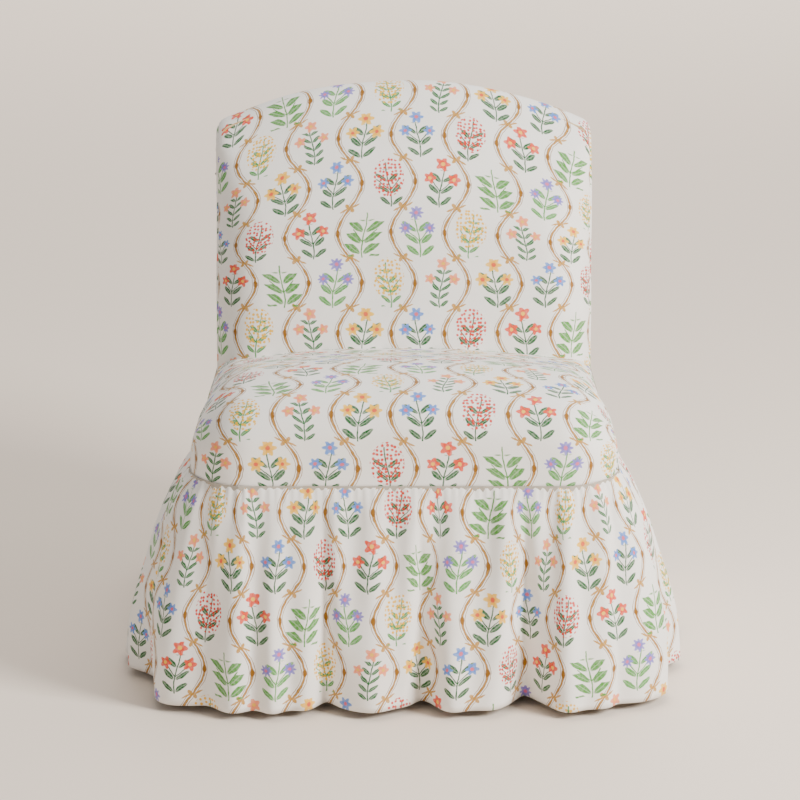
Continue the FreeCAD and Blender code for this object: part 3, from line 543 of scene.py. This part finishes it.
def turnUnder(bm, uvLayer, belongs, centre, moves):
    # turns a free edge under, a little inwards and along at each move
    cloth = {}
    for face in bm.faces:
        for loop in face.loops:
            cloth[loop.vert] = loop[uvLayer].uv.copy()
    edges = [edge for edge in bm.edges if edge.is_boundary and all(belongs(vertex.co) for vertex in edge.verts)]
    for inwards, along in moves:
        result = bmesh.ops.extrude_edge_only(bm, edges=edges)
        fresh = {item for item in result["geom"] if isinstance(item, bmesh.types.BMVert)}
        edges = [item for item in result["geom"] if isinstance(item, bmesh.types.BMEdge)]
        faces = {face for vertex in fresh for face in vertex.link_faces}
        parents = {}
        for vertex in fresh:
            for edge in vertex.link_edges:
                other = edge.other_vert(vertex)
                if other not in fresh:
                    parents[vertex] = other
        for vertex, parent in parents.items():
            cloth[vertex] = cloth[parent].copy()
        for face in faces:
            for loop in face.loops:
                loop[uvLayer].uv = cloth[loop.vert]
        for vertex in fresh:
            towards = Vector(centre(vertex.co)) - vertex.co
            vertex.co += towards.normalized() * inwards + Vector(along)


def finishPad(name, bm, thickness, material):
    bmesh.ops.recalc_face_normals(bm, faces=bm.faces)
    return makePiece(name, bm, thickness, material)


# the filling lies just under each cover: polyester wadding over foam, drawn as one soft body

padding = {"under": 0.0042, "columns": 18, "groove": 0.0, "pucker": 0.0, "uneven": 0.001, "thickness": 0.008,
           "every": 3, "short": 0.004}


# seat: a crowned pad with a waterfall front, one seam along each side just below the rounded top

seat = {
    "half": 0.311, "taper": math.tan(math.radians(1.15)), "cornerRadius": 0.093, "seam": 0.3388,
    "frontRim": 0.056, "sideRim": 0.084, "leastRim": 0.03, "rimRoom": 0.004, "crown": 0.028, "crownPower": 2.3,
    "topLine": ((0.0, 0.463), (0.06, 0.4685), (0.13, 0.471), (0.212, 0.465), (0.29, 0.450), (0.40, 0.425),
                (0.526, 0.401), (0.62, 0.388)),
    "rearY": 0.600, "seamInside": 0.010, "frontSeamX": 0.309,
    "frontStart": 0.16, "turnAt": (0.115, 0.372), "topStart": 0.350,        # where the rows start inside the pad
    "columns": 56, "frontRows": 9, "rimRows": 30, "topRows": 90,
    "groove": 0.0017, "pucker": 0.0006, "uneven": 0.0016, "clothUp": 0.012, "thickness": 0.0014,
    "turnedUnder": ((0.0006, (0, 0, -0.0007)), (0.0045, (0, 0, -0.0008))),
}


def seatHalf(y):
    return seat["half"] - max(y - seat["cornerRadius"], 0.0) * seat["taper"]


def seatBody(x, y, z):
    radius = seat["cornerRadius"]
    half = seatHalf(y)
    sideways = abs(x) - (half - radius)
    forwards = radius - y
    if sideways > 0 and forwards > 0:
        reach = math.hypot(sideways, forwards)
        edge, share = radius - reach, (sideways / reach) ** 2
    elif sideways > forwards:
        edge, share = half - abs(x), 1.0
    else:
        edge, share = y, 0.0
    line = curveThrough(seat["topLine"], y)
    rim = seat["frontRim"] + (seat["sideRim"] - seat["frontRim"]) * share
    rim = min(rim, max(line - seat["crown"] * share - seat["seam"] + seat["rimRoom"], seat["leastRim"]))
    top = line - seat["crown"] * min(abs(x) / half, sewing["crownLimit"]) ** seat["crownPower"]
    return roundedRim(edge, top - z, rim)


def seatRows():
    # each row of the wide panel: where it starts inside the pad, its direction in degrees, and its seam
    rows = []
    turnY, turnZ = seat["turnAt"]
    for index in range(seat["frontRows"]):
        z = seat["seam"] + (turnZ - seat["seam"]) * index / seat["frontRows"]
        rows.append((lambda x, z=z: (seat["frontStart"], z), 0.0, seat["frontSeamX"]))
    wider = seatHalf(turnY) - seat["seamInside"] - seat["frontSeamX"]
    for index in range(seat["rimRows"]):
        share = index / seat["rimRows"]
        rows.append((lambda x: (turnY, turnZ), 90 * share, seat["frontSeamX"] + wider * smoothStep(0, 1, share)))
    for index in range(seat["topRows"] + 1):
        y = turnY + (seat["rearY"] - turnY) * index / seat["topRows"]
        rows.append((lambda x, y=y: (y, seat["topStart"]), 90.0, seatHalf(y) - seat["seamInside"]))
    return rows


seatCorner = seat["frontRows"] + seat["rimRows"] // 2
bm, clothLayer = dressPad(seatBody, seatRows(), seatCorner, seat["rearY"], seat["seam"], seat)
turnUnder(bm, clothLayer, lambda place: place.z < seat["seam"] + 0.0005, lambda place: (0, 0.3, place.z),
          seat["turnedUnder"])
bmesh.ops.translate(bm, verts=bm.verts, vec=(middleX, frontY, 0))
seatCushion = finishPad("seatCushion", bm, seat["thickness"], cotton)
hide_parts("seat_cover")
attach(seatCushion, "root")

filling, clothLayer = dressPad(lambda x, y, z: seatBody(x, y, z) + padding["under"], seatRows()[::padding["every"]],
                               seatCorner // padding["every"], seat["rearY"] - padding["short"], seat["seam"],
                               {**seat, **padding})
bmesh.ops.translate(filling, verts=filling.verts, vec=(middleX, frontY, 0))
seatFilling = finishPad("seatFilling", filling, padding["thickness"], wadding)
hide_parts("seat_wadding", "seat_foam")
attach(seatFilling, "root")
print("seat upholstered:", len(seatCushion.data.polygons), "faces")


# back: a bulged pad on a narrow band, leaning away along its arched top

back = {
    "half": 0.300, "archRadius": 0.715, "length": 0.467, "shoulder": 0.024, "rake": math.radians(11.4),
    "pivotY": 0.603, "pivotZ": 0.340, "bulge": 0.086, "sideRoll": 0.080, "topRoll": 0.024, "rollPower": 4,
    "crown": 0.012, "crownPower": 2.2, "leanDeep": 0.088, "leanHigh": 0.215, "leanPower": 1.7, "frontMost": 0.012,
    "rollRoom": 0.006, "leastRoll": 0.018, "bandDepth": 0.040, "seamX": 0.2975, "foot": -0.030,
    "startDepth": 0.028, "startDrop": 0.070, "followArch": (0.10, 0.38),    # where the rows start inside the pad
    "columns": 54, "frontRows": 84, "rimRows": 30, "topRows": 3,
    "groove": 0.0014, "pucker": 0.0005, "uneven": 0.0014, "clothUp": 0.021, "thickness": 0.0014,
    "turnedUnder": ((0.0014, (0, 0.0014, 0)), (0.007, (0, 0.0002, 0))),
}
archCentre = back["length"] - back["archRadius"]
bendX = back["half"] - back["shoulder"]
bendZ = archCentre + math.sqrt((back["archRadius"] - back["shoulder"]) ** 2 - bendX ** 2)
bendSlope = math.atan2(bendZ - archCentre, bendX)


def leanBack(place):
    # from the back's own upright drawing to its place on the chair
    sine, cosine = math.sin(back["rake"]), math.cos(back["rake"])
    return Vector((place.x + middleX, frontY + back["pivotY"] + place.y * cosine + place.z * sine,
                   back["pivotZ"] - place.y * sine + place.z * cosine))


def archDrop(x):
    return back["archRadius"] - math.sqrt(back["archRadius"] ** 2 - x * x)



def backBody(x, depth, height):
    fromArch = math.hypot(x, height - archCentre)
    archEdge = back["archRadius"] - fromArch
    sideEdge = back["half"] - abs(x)
    dx, dz = abs(x) - bendX, height - bendZ
    if dx > 0 and dz > 0 and math.atan2(dz, dx) < bendSlope:
        reach = math.hypot(dx, dz)
        edge, share = back["shoulder"] - reach, dx / reach
    elif archEdge < sideEdge:
        edge, share = archEdge, abs(x) / fromArch
    else:
        edge, share = sideEdge, 1.0
    roll = back["topRoll"] + (back["sideRoll"] - back["topRoll"]) * share ** back["rollPower"]
    lean = back["leanDeep"] * max(1 - max(archEdge, 0.0) / back["leanHigh"], 0.0) ** back["leanPower"]
    crown = back["crown"] * min(abs(x) / back["half"], sewing["crownLimit"]) ** back["crownPower"]
    front = min(-back["bulge"] + lean + crown, back["frontMost"])
    return roundedRim(edge, depth - front, min(roll, max(back["rollRoom"] - front, back["leastRoll"])))


def backRows():
    # as for the seat; the rows follow the arch more and more towards the top
    rows = []
    deep = back["startDepth"]
    turnHeight = back["length"] - back["startDrop"]
    for index in range(back["frontRows"]):
        height = back["foot"] + (turnHeight - back["foot"]) * index / back["frontRows"]
        follow = smoothStep(*back["followArch"], height)
        rows.append((lambda x, h=height, f=follow: (deep, h - f * archDrop(x)), 0.0, back["seamX"]))
    for index in range(back["rimRows"]):
        rows.append((lambda x: (deep, turnHeight - archDrop(x)), 90 * index / back["rimRows"], back["seamX"]))
    for index in range(back["topRows"] + 1):
        depth = deep + (back["bandDepth"] - deep) * index / back["topRows"]
        rows.append((lambda x, d=depth: (d, turnHeight - archDrop(x)), 90.0, back["seamX"]))
    return rows


backCorner = back["frontRows"] + back["rimRows"] // 2
bm, clothLayer = dressPad(backBody, backRows(), backCorner, back["bandDepth"], back["foot"], back)
turnUnder(bm, clothLayer, lambda place: place.y > back["bandDepth"] - 0.0005, lambda place: (0, place.y, 0.2),
          back["turnedUnder"])
for vertex in bm.verts:
    vertex.co = leanBack(vertex.co)
backCushion = finishPad("backCushion", bm, back["thickness"], cotton)
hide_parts("inside_back_cover")
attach(backCushion, "root")

filling, clothLayer = dressPad(lambda x, y, z: backBody(x, y, z) + padding["under"], backRows()[::padding["every"]],
                               backCorner // padding["every"], back["bandDepth"], back["foot"],
                               {**back, **padding})
for vertex in filling.verts:
    vertex.co = leanBack(vertex.co)
backFilling = finishPad("backFilling", filling, padding["thickness"], wadding)
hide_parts("back_wadding", "back_foam")
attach(backFilling, "root")
print("back upholstered:", len(backCushion.data.polygons), "faces")


# outside back: one flat panel, its edges turned under and slip-stitched to the band

outside = {"inset": 0.0016, "depth": 0.0430, "foot": -0.002, "swell": 0.0022, "swellFrom": 0.05, "edgeDrop": 0.0012,
           "edgeRoll": 0.002, "uneven": 0.0006, "columns": 90, "rows": 70, "crowded": 0.35, "clothUp": 0.04,
           "thickness": 0.0012}


def outsideTop(x):
    if abs(x) <= bendX + back["shoulder"] * math.cos(bendSlope):
        return archCentre + math.sqrt((back["archRadius"] - outside["inset"]) ** 2 - x * x)
    reach = back["shoulder"] - outside["inset"]
    return bendZ + math.sqrt(max(reach ** 2 - (abs(x) - bendX) ** 2, 0.0))


bm = bmesh.new()
clothLayer = bm.loops.layers.uv.new("cloth")
half = back["half"] - outside["inset"] - sewing["weld"]
across = []
for index in range(outside["columns"] + 1):
    share = 2 * index / outside["columns"] - 1           # columns lie closer together towards the sides
    across.append(half * (outside["crowded"] * math.sin(math.pi / 2 * share) + (1 - outside["crowded"]) * share))
grid = []
for step in range(outside["rows"] + 1):
    row = []
    for x in across:
        top = outsideTop(x)
        height = outside["foot"] + (top - outside["foot"]) * step / outside["rows"]
        rim = min(half - abs(x), top - height, height - outside["foot"])
        swell = outside["swell"] * smoothStep(0, outside["swellFrom"], rim)
        swell += outside["edgeDrop"] * (smoothStep(0, outside["edgeRoll"], rim) - 1)
        swell += outside["uneven"] * noise.noise(Vector((x, height, 3)) * 11)
        row.append((bm.verts.new((x, outside["depth"] + swell, height)), (-x, height + outside["clothUp"])))
    grid.append(row)
for i in range(len(grid) - 1):
    for j in range(len(across) - 1):
        corners = [grid[i][j], grid[i + 1][j], grid[i + 1][j + 1], grid[i][j + 1]]
        face = bm.faces.new([vertex for vertex, cloth in corners])
        for loop, (vertex, cloth) in zip(face.loops, corners):
            loop[clothLayer].uv = cloth
for vertex in bm.verts:
    vertex.co = leanBack(vertex.co)
outsideBack = makePiece("outsideBack", bm, outside["thickness"], cotton)
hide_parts("outside_back_cover")
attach(outsideBack, "root")
print("outside back made")


# skirt: one long strip gathered on to the seat line. Its folds are few and deep at the hem, and between
# them, near the seam, run many small gathers.

skirt = {
    "top": 0.3392, "hem": 0.0125, "rearY": 0.6469, "rearCorner": 0.010, "thickness": 0.0011,
    "rows": 44, "rowPower": 1.22, "step": 0.0034, "stepOut": 0.09, "measuredOut": 0.05,
    "frontOut": 0.049, "sideOut": 0.109, "rearOut": 0.060, "sidePower": 3.3,
    # share of that reach by share of the fall; the sides come out later
    "flare": ((0, 0), (0.06, 0.14), (0.16, 0.30), (0.25, 0.42), (0.34, 0.52), (0.45, 0.62), (0.62, 0.79),
              (0.78, 0.92), (1.0, 1.0)),
    "lateFlare": 1.2, "lateFrom": (0.14, 0.36),
    # troughs between folds: place along the hem from the middle of the front, depth, half width
    "troughs": (
        (0.023, 0.048, 0.026), (0.174, 0.070, 0.030), (0.318, 0.014, 0.022), (0.446, 0.060, 0.046),
        (0.590, 0.044, 0.024), (0.762, 0.060, 0.028), (0.903, 0.046, 0.023), (1.095, 0.046, 0.026),
        (1.238, 0.044, 0.024), (1.372, 0.050, 0.027),
        (-0.114, 0.042, 0.022), (-0.298, 0.007, 0.020), (-0.428, 0.060, 0.045), (-0.625, 0.054, 0.027),
        (-0.778, 0.046, 0.024), (-0.915, 0.058, 0.026), (-1.108, 0.046, 0.025), (-1.260, 0.042, 0.024),
    ),
    "troughFall": 1.15, "troughPower": 1.6, "troughTop": 0.42, "sway": 0.008,
    "ripple": 0.0060, "rippleWave": 0.058, "drape": 0.0085, "drapeWave": 0.072,
    "gather": 0.0013, "gatherWave": 0.0115, "gatherFade": 0.07, "soft": 0.0016,
    "topIn": -0.0035, "topRoll": 0.0012, "seamIn": -0.0008,
}


def seatLine(out):
    # the seam's plan as places and outward directions, dense enough to follow the corners out at the hem
    radius, rearRadius, rearY = seat["cornerRadius"], skirt["rearCorner"], skirt["rearY"]
    slope = math.atan(seat["taper"])
    across, onward = math.cos(slope), math.sin(slope)
    frontX = seat["half"] - radius
    rearX = seatHalf(rearY - rearRadius) - rearRadius
    count = round(frontX / skirt["step"])
    half = [(frontX * index / count, 0.0, 0.0, -1.0) for index in range(count)]
    count = round((radius + out) * math.pi / 2 / skirt["step"])
    for index in range(count):
        turn = -math.pi / 2 + (math.pi / 2 + slope) * index / count
        half.append((frontX + radius * math.cos(turn), radius + radius * math.sin(turn),
                     math.cos(turn), math.sin(turn)))
    startX, endX = frontX + radius * across, rearX + rearRadius * across
    startY, endY = radius + radius * onward, rearY - rearRadius + rearRadius * onward
    count = round((rearY - rearRadius - radius) / skirt["step"])
    for index in range(count):
        share = index / count
        half.append((startX + (endX - startX) * share, startY + (endY - startY) * share, across, onward))
    count = round((rearRadius + out) * math.pi / 2 / skirt["step"])
    for index in range(count):
        turn = slope + (math.pi / 2 - slope) * index / count
        half.append((rearX + rearRadius * math.cos(turn), rearY - rearRadius + rearRadius * math.sin(turn),
                     math.cos(turn), math.sin(turn)))
    count = round(rearX / skirt["step"])
    half += [(rearX * (1 - index / count), rearY, 0.0, 1.0) for index in range(count + 1)]
    left = [(-x, y, -outX, outY) for x, y, outX, outY in half[1:]]
    return left[::-1] + half


seamLine = seatLine(skirt["stepOut"])


def runAlong(out):
    # distance along the cloth from the middle of the front, negative to the left
    places = [(x + outX * out, y + outY * out) for x, y, outX, outY in seamLine]
    run = [0.0]
    for before, after in zip(places, places[1:]):
        run.append(run[-1] + math.dist(before, after))
    middle = min(range(len(seamLine)), key=lambda index: abs(seamLine[index][0]) + seamLine[index][1] * 10)
    return [value - run[middle] for value in run]


alongHem = runAlong(skirt["measuredOut"])
alongSeam = runAlong(0.0)
wholeHem = alongHem[-1]


def unevenness(*place):
    return noise.noise(Vector(place))


def skirtOffset(index, v):
    # how far out from the seat line the cloth hangs, at a share v of its fall
    x, y, outX, outY = seamLine[index]
    t, seamRun = alongHem[index], alongSeam[index]
    ahead = skirt["frontOut"] if outY < 0 else skirt["rearOut"]
    late = smoothStep(*skirt["lateFrom"], y) * abs(outX)
    crest = ahead + (skirt["sideOut"] - ahead) * abs(outX) ** skirt["sidePower"]
    crest *= (1 - late) * curveThrough(skirt["flare"], v) + late * v ** skirt["lateFlare"]
    deep = 0.0
    for place, depth, width in skirt["troughs"]:
        gap = abs(t - place)
        gap = min(gap, 2 * wholeHem - gap)
        wide = width * (skirt["troughTop"] + (1 - skirt["troughTop"]) * v)
        sway = skirt["sway"] * math.sin(place * 40) * (1 - v)
        deep += depth * v ** skirt["troughFall"] * math.exp(-(abs(gap + sway) / wide) ** skirt["troughPower"])
    ripple = skirt["ripple"] * math.sin(t * 2 * math.pi / skirt["rippleWave"] + 2.6 * unevenness(t * 9, 0.3, 0.7))
    ripple *= min(v / 0.12, 1.0) * max(1 - v, 0.0) ** 1.3 * (0.6 + 0.8 * unevenness(t * 14, 5.1, 0.2))
    drape = skirt["drape"] * math.sin(t * 2 * math.pi / skirt["drapeWave"] + 3.4 * unevenness(t * 6, 8, 3))
    drape *= v ** 0.6 * (0.55 + 0.9 * unevenness(t * 8, 1.7, 4.2) + 0.25 * unevenness(t * 12, v * 3, 6))
    gather = math.sin(seamRun * 2 * math.pi / skirt["gatherWave"] + 2 * unevenness(seamRun * 40, 1, 1))
    gather *= skirt["gather"] * math.exp(-v / skirt["gatherFade"]) * min(v / 0.008, 1.0)
    soft = skirt["soft"] * unevenness(t * 13, v * 2.2, 2.0) * v
    return crest - deep + ripple + drape + gather + soft


def hangCloth(name, outAt, levels, settings, material):
    # a strip of cloth round the seat line, from its turned-in top edge down to the hem
    top, hem = settings["top"], settings["hem"]
    places = []
    for v in levels:
        z = top + (hem - top) * v if v >= 0 else top + 0.001
        outs = [outAt(index, v) for index in range(len(seamLine) - 1)]
        places.append([Vector((x + outX * out, y + outY * out, z))
                       for (x, y, outX, outY), out in zip(seamLine, outs)])
    hemRun = [0.0]
    for before, after in zip(places[-1], places[-1][1:] + places[-1][:1]):
        hemRun.append(hemRun[-1] + (after - before).length)
    fall = [0.0]
    for upper, lower in zip(places, places[1:]):
        steps = [(a - b).length for a, b in zip(upper, lower)]
        fall.append(fall[-1] + sum(steps) / len(steps))
    bm = bmesh.new()
    clothLayer = bm.loops.layers.uv.new("cloth")
    vertices = [[bm.verts.new(place) for place in ring] for ring in places]
    count = len(places[0])
    for i in range(len(places) - 1):
        for j in range(count):
            after = (j + 1) % count
            corners = [(i, j, j), (i + 1, j, j), (i + 1, after, j + 1), (i, after, j + 1)]
            face = bm.faces.new([vertices[a][b] for a, b, run in corners])
            for loop, (a, b, run) in zip(face.loops, corners):
                loop[clothLayer].uv = (hemRun[run], -fall[a])
    bmesh.ops.translate(bm, verts=bm.verts, vec=(middleX, frontY, 0))
    bmesh.ops.recalc_face_normals(bm, faces=bm.faces)
    return makePiece(name, bm, settings["thickness"], material), hemRun[-1], fall[-1]


def skirtOut(index, v):
    if v < 0:
        return skirt["topIn"]
    return skirtOffset(index, v) + skirt["topRoll"] * smoothStep(0, 0.01, v) + skirt["seamIn"]


skirtLevels = [-1.0] + [(index / skirt["rows"]) ** skirt["rowPower"] for index in range(skirt["rows"] + 1)]
gatheredSkirt, hemLength, fallLength = hangCloth("gatheredSkirt", skirtOut, skirtLevels, skirt, cotton)
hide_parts("skirt_front", "skirt_right", "skirt_back", "skirt_left")
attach(gatheredSkirt, "root")
print("skirt gathered: flat", round(hemLength, 3), "by", round(fallLength, 3), "m")


# lining: a plain, nearly straight strip inside the skirt that keeps the folds off the legs

lining = {"top": 0.3385, "hem": 0.030, "front": -0.020, "side": 0.037, "rear": 0.003, "topIn": -0.0022,
          "wave": 0.0022, "waveGap": 0.11, "rows": 10, "thickness": 0.0007}


def liningOut(index, v):
    x, y, outX, outY = seamLine[index]
    t = alongHem[index]
    ahead = lining["front"] if outY < 0 else lining["rear"]
    reach = (ahead + (lining["side"] - ahead) * outX * outX - lining["topIn"]) * v
    wave = lining["wave"] * v * math.sin(t * 2 * math.pi / lining["waveGap"] + 3 * unevenness(t * 5, 2, 9))
    return lining["topIn"] + reach + wave


liningLevels = [index / lining["rows"] for index in range(lining["rows"] + 1)]
skirtLining, hemLength, fallLength = hangCloth("skirtLining", liningOut, liningLevels, lining, liningCotton)
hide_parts("skirt_lining")
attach(skirtLining, "root")
print("lining hung: flat", round(hemLength, 3), "by", round(fallLength, 3), "m")


# plain pale floor and soft studio light

studio = {
    "floor": "EFE0D0", "floorRoughness": 0.75, "air": (1.0, 0.97, 0.94, 1), "airStrength": 0.5,
    "lights": {                          # place, aim, width and height, power, colour
        "windowRight": ((3.0, -1.9, 2.3), (0, 0, 0.35), (1.3, 1.5), 300, (1.0, 0.98, 0.95)),
        "fillLeft": ((-3.0, -2.6, 1.8), (0, 0, 0.4), (2.6, 2.0), 12, (1.0, 0.97, 0.93)),
        "backdropGlow": ((1.5, 9.0, 5.0), (1.5, 9.5, 0), (9.0, 9.0), 900, (1.0, 0.96, 0.92)),
        "overhead": ((0.4, 0.6, 3.4), (0, 0, 0.3), (2.6, 2.6), 36, (1.0, 0.99, 0.97)),
    },
}
floorMaterial, tree = newMaterial("studioFloor")
floorShader = addNode(tree, "BsdfPrincipled", None, linearColour(studio["floor"]), Roughness=studio["floorRoughness"])
addNode(tree, "OutputMaterial", None, floorShader)
bpy.ops.object.select_all(action="DESELECT")
bpy.ops.mesh.primitive_plane_add(size=30, location=(0, 6, 0))
studioFloor = bpy.context.active_object
studioFloor.name = "studioFloor"
studioFloor.data.materials.append(floorMaterial)

world = bpy.data.worlds.new("studio")
bpy.context.scene.world = world
world.use_nodes = True
background = world.node_tree.nodes["Background"]
background.inputs["Color"].default_value = studio["air"]
background.inputs["Strength"].default_value = studio["airStrength"]
for name, (place, aim, size, power, colour) in studio["lights"].items():
    data = bpy.data.lights.new(name, "AREA")
    data.shape = "RECTANGLE"
    data.size, data.size_y = size
    data.energy = power
    data.color = colour
    light = bpy.data.objects.new(name, data)
    bpy.context.scene.collection.objects.link(light)
    light.location = place
    light.rotation_euler = (Vector(aim) - Vector(place)).to_track_quat("-Z", "Y").to_euler()
print("lights and floor ready")
